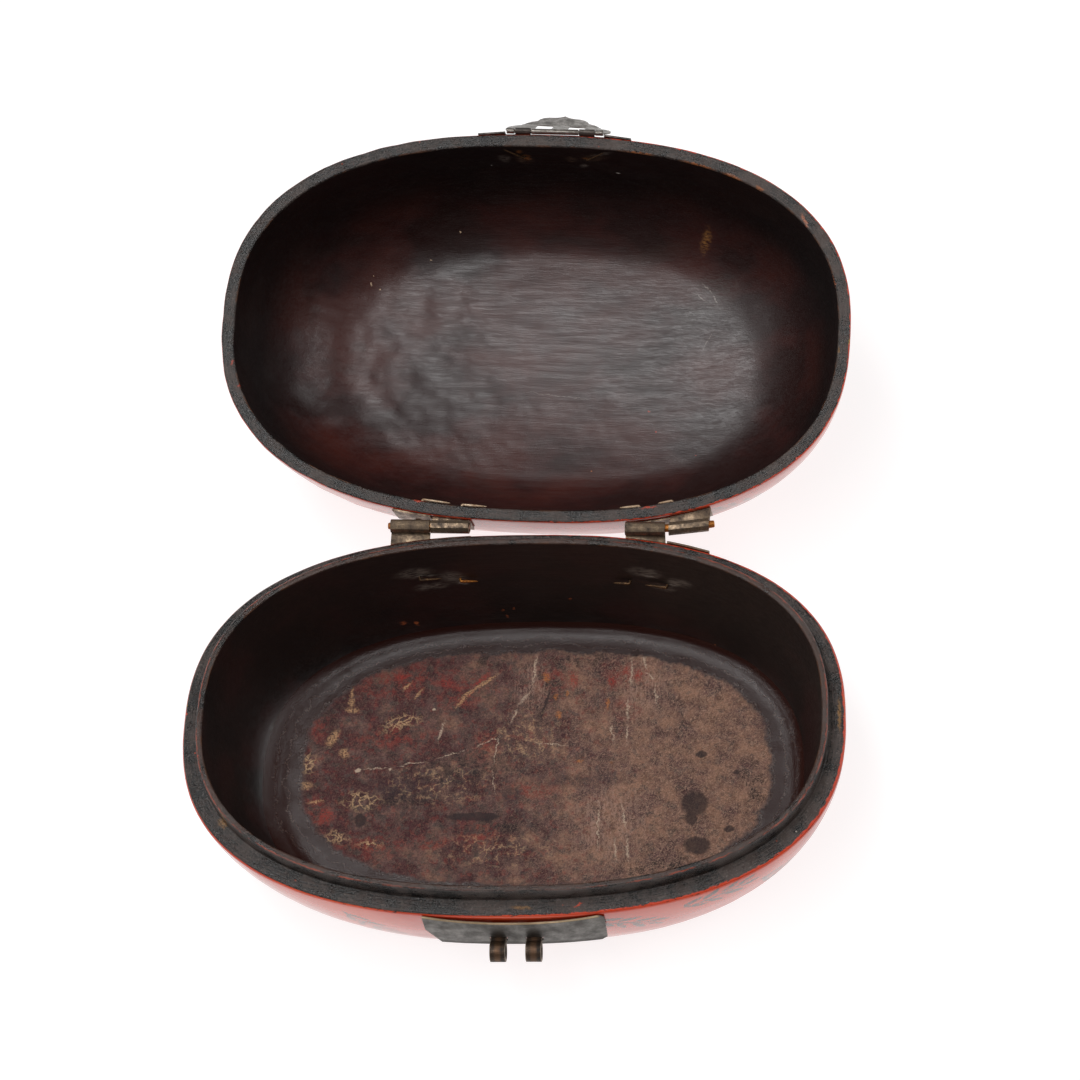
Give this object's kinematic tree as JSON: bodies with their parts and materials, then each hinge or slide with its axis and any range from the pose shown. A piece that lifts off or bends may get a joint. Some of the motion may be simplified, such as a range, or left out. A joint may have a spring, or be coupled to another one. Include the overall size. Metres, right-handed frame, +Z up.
{
  "type": "lacquer jewelry box",
  "caption": "Oval red lacquer box with a domed hinged lid laid open, dark inside, with metal hinges, a lock plate and a cloud-edged hasp.",
  "frame": {"origin": "middle of the flat underside of the base", "axes": "+Z up, +X along the box to the right, +Y towards the hinges and the opened lid"},
  "size_m": [0.3059, 0.4278, 0.127],
  "materials": {
    "lacquer": "glossy vermilion lacquer outside, worn brown-black lacquer inside",
    "hinge_bronze": "dark mottled patina",
    "pin_brass": "dull orange-brown",
    "plate_metal": "tarnished grey white-brass sheet",
    "loop_iron": "dark brown, worn bright on the edges"
  },
  "bodies": {
    "base": {"base_body": "lacquer", "left_hinge_base_leaf": "hinge_bronze", "right_hinge_base_leaf": "hinge_bronze", "left_hinge_base_pin_left": "pin_brass", "left_hinge_base_pin_right": "pin_brass", "right_hinge_base_pin_left": "pin_brass", "right_hinge_base_pin_right": "pin_brass", "lock_plate": "plate_metal", "lock_loop_left": "loop_iron", "lock_loop_right": "loop_iron"},
    "lid": {"lid_body": "lacquer", "left_hinge_lid_leaf": "hinge_bronze", "left_hinge_pin": "pin_brass", "right_hinge_lid_leaf": "hinge_bronze", "right_hinge_pin": "pin_brass", "left_hinge_lid_pin_left": "pin_brass", "left_hinge_lid_pin_right": "pin_brass", "right_hinge_lid_pin_left": "pin_brass", "right_hinge_lid_pin_right": "pin_brass", "lid_plate": "plate_metal", "lid_plate_pin_left": "pin_brass", "lid_plate_pin_right": "pin_brass", "hasp_pin": "loop_iron"},
    "hasp": {"hasp": "plate_metal"}
  },
  "joints": [
    {"name": "lid_hinge", "type": "hinge", "parent": "base", "child": "lid", "pos_m": [0, 0.0984, 0.0709], "axis": [0.9995, -0.0305, 0], "range_deg": [0, 163.37]},
    {"name": "hasp_hinge", "type": "hinge", "parent": "lid", "child": "hasp", "pos_m": [0.01576, 0.28675, 0.12517], "axis": [0.9982, -0.0598, -0.0087], "range_deg": [0, 152.2]}
  ]
}
